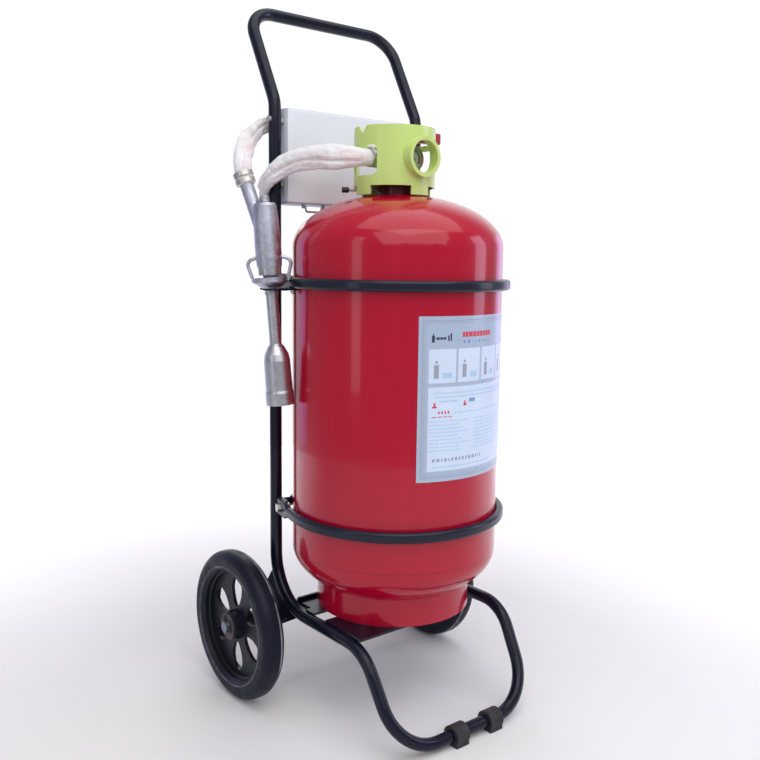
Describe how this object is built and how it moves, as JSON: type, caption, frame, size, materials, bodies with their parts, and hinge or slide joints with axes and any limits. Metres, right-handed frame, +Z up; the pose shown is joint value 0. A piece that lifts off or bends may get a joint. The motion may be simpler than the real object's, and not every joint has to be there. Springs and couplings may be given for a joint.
{
  "type": "wheeled foam fire extinguisher",
  "caption": "Foam cylinder strapped to a bent-tube two-wheeled trolley, with a guarded ball valve, a hose box and a hand-held foam gun on a side bracket.",
  "frame": {"origin": "on the floor under the centre of the whole machine's bounding box, without the free hoses", "axes": "+Z up; -Y towards the front, where the foot bar and the gauge are; +Y towards the person who pulls the handle; -X the side with the foam gun"},
  "size_m": [0.4795, 0.4828, 1.15],
  "materials": {
    "frame_black": "glossy very dark navy-black enamel on steel tube",
    "band_black": "glossy dark blue-black enamel on flat steel",
    "cylinder_red": "glossy crimson enamel",
    "label_pale": "smooth printed film",
    "guard_lime": "moulded lime plastic, slightly shiny",
    "box_white": "satin powder coat on thin sheet",
    "hose_canvas": "woven lay-flat canvas with a coloured line",
    "gun_grey": "cast and turned aluminium, satin",
    "tyre_black": "solid rubber, worn at the edge",
    "hub_black": "moulded black plastic",
    "zinc_steel": "zinc-plated steel",
    "valve_brass": "turned brass",
    "lever_red": "dipped dark red vinyl",
    "knob_black": "moulded black plastic",
    "lens_clear": "clear glass",
    "dial_white": "printed dial",
    "needle_black": "thin black enamel",
    "seal_white": "waxy plastic ring",
    "pad_rubber": "soft black rubber",
    "bare_steel": "bright turned steel"
  },
  "bodies": {
    "trolley": {"handle_tube": "frame_black", "side_tube_left": "frame_black", "side_tube_right": "frame_black", "foot_tube": "frame_black", "foot_pads": "pad_rubber", "gussets": "frame_black", "axle_tube": "frame_black", "axle_rod": "bare_steel", "axle_washers": "zinc_steel", "cotter_pins": "zinc_steel", "front_support_plate": "frame_black", "rear_support_plate": "frame_black", "upper_band": "band_black", "lower_band": "band_black", "backrest_bars": "frame_black", "band_tabs": "band_black", "band_bolts": "zinc_steel", "cylinder_shell": "cylinder_red", "foot_skirt": "cylinder_red", "neck_ring": "cylinder_red", "label": "label_pale", "siphon_tube": "bare_steel", "valve_body": "valve_brass", "valve_seals": "seal_white", "outlet_nipple": "valve_brass", "outlet_hose_clamps": "zinc_steel", "gland_nut": "valve_brass", "gauge_case": "zinc_steel", "gauge_dial": "dial_white", "gauge_lens": "lens_clear", "valve_guard": "guard_lime", "neck_screws": "knob_black", "hose_box": "box_white", "box_hinge_pin": "bare_steel", "box_bolts": "zinc_steel", "hose_pack": "hose_canvas", "outlet_hose": "hose_canvas", "gun_cradle": "frame_black"},
    "wheel_left": {"tyre_left": "tyre_black", "wheel_hub_left": "hub_black"},
    "wheel_right": {"tyre_right": "tyre_black", "wheel_hub_right": "hub_black"},
    "valve_lever": {"valve_ball": "bare_steel", "valve_stem": "bare_steel", "lever_arm": "zinc_steel", "lever_grip": "lever_red", "lever_nut": "zinc_steel"},
    "gauge_pointer": {"gauge_needle": "needle_black"},
    "box_flap": {"box_door": "box_white"},
    "pull_loop": {"box_pull_loop": "zinc_steel"},
    "gun": {"gun_body": "gun_grey", "gun_inlet": "gun_grey", "gun_jet": "gun_grey", "gun_bell": "gun_grey", "gun_arms": "gun_grey", "gun_barrel": "gun_grey", "gun_hose_clamps": "zinc_steel", "gun_hose": "hose_canvas"},
    "flow_knob": {"gun_knob": "gun_grey"}
  },
  "joints": [
    {"name": "wheel_left_spin", "type": "hinge", "parent": "trolley", "child": "wheel_left", "pos_m": [-0.2127, 0.11645, 0.125], "axis": [1, 0, 0], "continuous": true},
    {"name": "wheel_right_spin", "type": "hinge", "parent": "trolley", "child": "wheel_right", "pos_m": [0.2127, 0.11645, 0.125], "axis": [1, 0, 0], "continuous": true},
    {"name": "valve_lever_turn", "type": "hinge", "parent": "trolley", "child": "valve_lever", "pos_m": [0, -0.03545, 0.929], "axis": [0, 0, 1], "range_deg": [0, 90]},
    {"name": "gauge_needle_swing", "type": "hinge", "parent": "trolley", "child": "gauge_pointer", "pos_m": [0, -0.06945, 0.895], "axis": [0, 1, 0], "range_deg": [-75, 195]},
    {"name": "box_door_swing", "type": "hinge", "parent": "trolley", "child": "box_flap", "pos_m": [0, 0.14055, 0.9715], "axis": [1, 0, 0], "range_deg": [0, 110]},
    {"name": "box_pull_loop_swing", "type": "hinge", "parent": "trolley", "child": "pull_loop", "pos_m": [-0.0825, 0.08355, 0.8228], "axis": [1, 0, 0], "range_deg": [-70, 70]},
    {"name": "gun_lift", "type": "slide", "parent": "trolley", "child": "gun", "axis": [-0.059, 0.0477, 0.9971], "range_m": [0, 0.06], "deforming": ["gun_hose"]},
    {"name": "gun_knob_turn", "type": "hinge", "parent": "gun", "child": "flow_knob", "pos_m": [-0.20708, 0.03367, 0.82465], "axis": [-0.059, 0.0477, 0.9971], "range_deg": [0, 270]}
  ]
}
